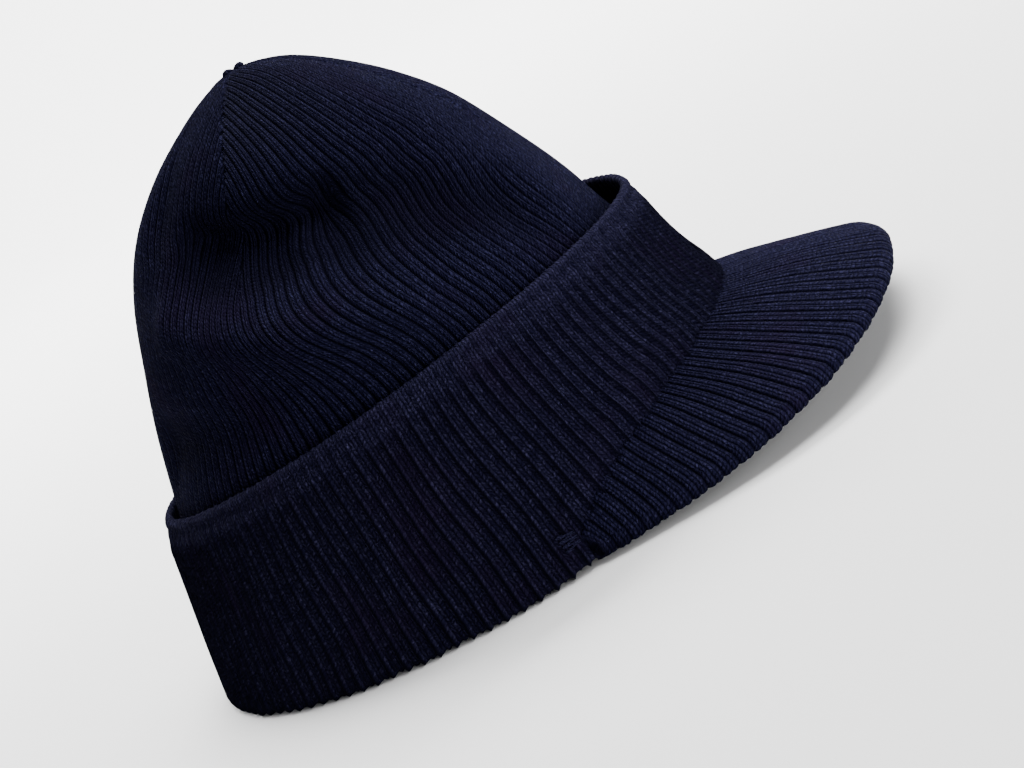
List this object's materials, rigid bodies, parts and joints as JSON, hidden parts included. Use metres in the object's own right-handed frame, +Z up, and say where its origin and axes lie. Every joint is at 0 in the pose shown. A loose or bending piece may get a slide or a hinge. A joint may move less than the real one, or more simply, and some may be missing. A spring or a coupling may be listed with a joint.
{
  "type": "visor beanie",
  "caption": "Rib-knit beanie with a pointed dome crown, a turned-up cuff and a short rounded visor sewn to the front.",
  "frame": {"origin": "centre of the hat's box on the surface it rests on", "axes": "+Z up from the rim, -Y towards the visor at the front, +X towards the wearer's left"},
  "size_m": [0.181, 0.2526, 0.1629],
  "materials": {
    "crown_knit": "very dark navy single rib knit in fine wool or cotton yarn, matt",
    "cuff_knit": "very dark navy single rib knit, matt, with a flatter hem band along its edge",
    "visor_knit": "very dark navy rib knit stretched over a stiff peak, matt"
  },
  "bodies": {
    "root": {"crown": "crown_knit", "cuff": "cuff_knit", "visor": "visor_knit"}
  },
  "joints": []
}
